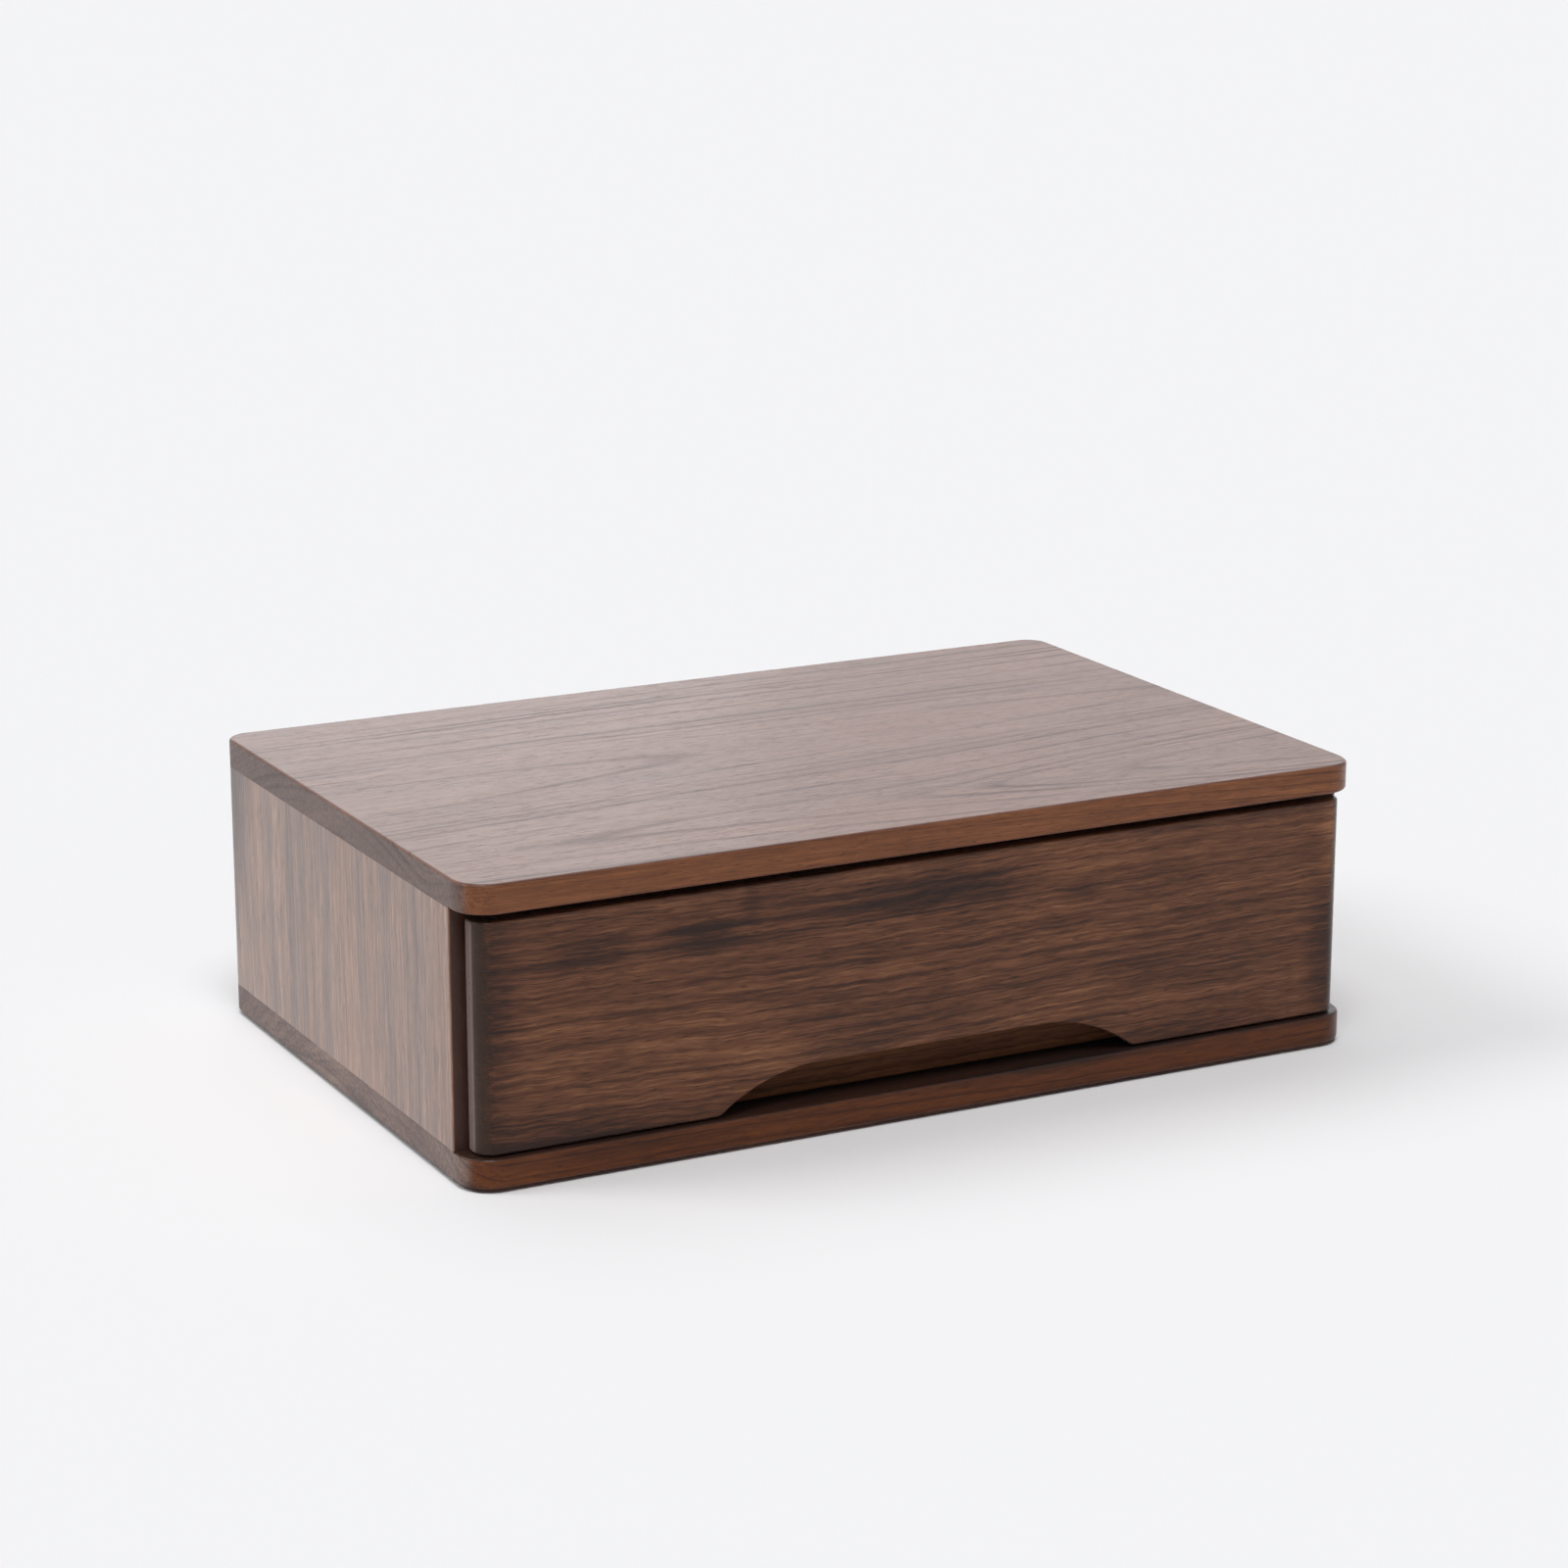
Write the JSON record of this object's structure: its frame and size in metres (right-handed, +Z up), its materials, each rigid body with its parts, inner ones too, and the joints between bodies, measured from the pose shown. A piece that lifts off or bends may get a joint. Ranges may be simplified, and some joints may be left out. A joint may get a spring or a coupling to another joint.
{
  "type": "desktop storage cabinet",
  "caption": "Low walnut desktop cabinet: flat top and bottom boards with rounded corners, side panels, and a wide drawer with an arched finger cut-out.",
  "frame": {"origin": "centre of the footprint, on the surface that the cabinet stands on", "axes": "+X to the right as seen from the front, along the boards; +Y from the drawer front to the back; +Z up"},
  "size_m": [0.4, 0.26, 0.1215],
  "materials": {
    "walnut_boards": "satin lacquer, grain along the width",
    "walnut_panels": "satin lacquer, upright grain",
    "walnut_front": "satin lacquer, grain along the width",
    "walnut_box": "thin oil, grain along each wall",
    "birch_ply": "clear oil",
    "beech": "bare, planed",
    "steel": "zinc plated",
    "pad_rubber": "matte"
  },
  "bodies": {
    "carcass": {"top_board": "walnut_boards", "bottom_board": "walnut_boards", "side_panel_left": "walnut_panels", "side_panel_right": "walnut_panels", "back_panel": "walnut_panels", "top_dowels_left": "beech", "top_dowels_right": "beech", "bottom_dowels_left": "beech", "bottom_dowels_right": "beech", "carcass_screws_left": "steel", "carcass_screws_right": "steel", "runner_left": "beech", "runner_right": "beech", "runner_screws_left": "steel", "runner_screws_right": "steel", "stop_rail": "beech", "stop_rail_screws": "steel", "foot_pad_front_left": "pad_rubber", "foot_pad_front_right": "pad_rubber", "foot_pad_back_left": "pad_rubber", "foot_pad_back_right": "pad_rubber"},
    "drawer": {"drawer_front": "walnut_front", "drawer_box_front": "walnut_box", "drawer_side_left": "walnut_box", "drawer_side_right": "walnut_box", "drawer_back": "walnut_box", "drawer_bottom": "birch_ply", "front_fixing_screws": "steel", "bumper_upper_left": "pad_rubber", "bumper_lower_left": "pad_rubber", "bumper_upper_right": "pad_rubber", "bumper_lower_right": "pad_rubber", "stop_button_screw": "steel"},
    "stop_button": {"stop_button": "beech"}
  },
  "joints": [
    {"name": "drawer_slide", "type": "slide", "parent": "carcass", "child": "drawer", "axis": [0, -1, 0], "range_m": [0, 0.1785]},
    {"name": "stop_button_turn", "type": "hinge", "parent": "drawer", "child": "stop_button", "pos_m": [0, 0.0958, 0.092], "axis": [0, 1, 0], "range_deg": [0, 90]}
  ]
}
